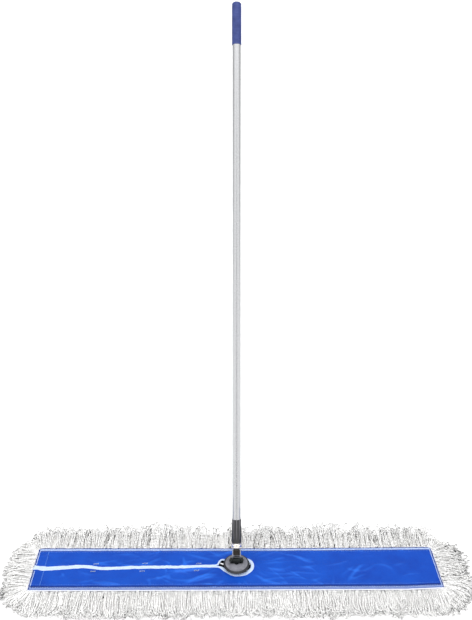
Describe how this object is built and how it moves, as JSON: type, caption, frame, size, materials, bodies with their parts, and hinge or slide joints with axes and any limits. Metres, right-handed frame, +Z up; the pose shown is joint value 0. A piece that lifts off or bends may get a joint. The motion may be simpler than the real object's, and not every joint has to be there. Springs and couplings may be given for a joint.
{
  "type": "flat dust mop",
  "caption": "Wide flat dust mop: cotton fringed head with a blue slit backing over a wire frame, and a long aluminium handle that swivels and tilts.",
  "frame": {"origin": "centre of the yarn sole, on the floor, straight below the swivel", "axes": "+X along the mop head, away from the slit; +Y towards the rear, where the handle leans at rest; +Z up"},
  "size_m": [1.395, 0.8851, 1.5602],
  "materials": {
    "cotton": "looped twisted cotton yarn, matt",
    "canvas": "plain dark canvas lining",
    "blue_nylon": "woven nylon, slight sheen, creased",
    "white_tape": "woven tape, stitched",
    "spring_steel": "bright drawn wire",
    "zinc_steel": "zinc plated, satin",
    "grey_plastic": "moulded, fine grain",
    "black_plastic": "moulded nylon, satin",
    "black_steel": "black oxide",
    "white_plastic": "natural nylon",
    "chrome": "polished plating",
    "aluminium": "drawn tube, satin",
    "blue_rubber": "ribbed grip, matt"
  },
  "bodies": {
    "mop_head": {"cotton_yarn": "cotton", "base_canvas": "canvas", "blue_backing": "blue_nylon", "slit_binding": "white_tape", "edge_binding": "white_tape", "left_hem_front": "blue_nylon", "left_hem_rear": "blue_nylon", "closure_strap_1": "white_tape", "closure_strap_2": "white_tape", "closure_strap_3": "white_tape", "left_wire": "spring_steel", "right_wire": "spring_steel", "lower_plate": "zinc_steel", "upper_plate": "zinc_steel", "plate_rivet_1": "zinc_steel", "plate_rivet_2": "zinc_steel", "plate_rivet_3": "zinc_steel", "plate_rivet_4": "zinc_steel", "swivel_cover": "grey_plastic", "thrust_washer": "white_plastic"},
    "swivel": {"swivel_post": "black_steel", "block_screw": "zinc_steel", "pivot_block": "black_plastic", "pivot_pin": "zinc_steel", "pin_nut": "zinc_steel"},
    "handle": {"steel_yoke": "zinc_steel", "neck_collar": "zinc_steel", "neck_core": "black_plastic", "threaded_stud": "black_steel", "ferrule_ring": "chrome", "socket_sleeve": "black_plastic", "tube_insert": "white_plastic", "handle_tube": "aluminium", "hand_grip": "blue_rubber"}
  },
  "joints": [
    {"name": "head_swivel", "type": "hinge", "parent": "mop_head", "child": "swivel", "pos_m": [0, 0, 0.035], "axis": [0, 0, 1], "continuous": true},
    {"name": "handle_tilt", "type": "hinge", "parent": "swivel", "child": "handle", "pos_m": [0, 0, 0.05], "axis": [1, 0, 0], "range_deg": [-54.8, 105.2]}
  ]
}
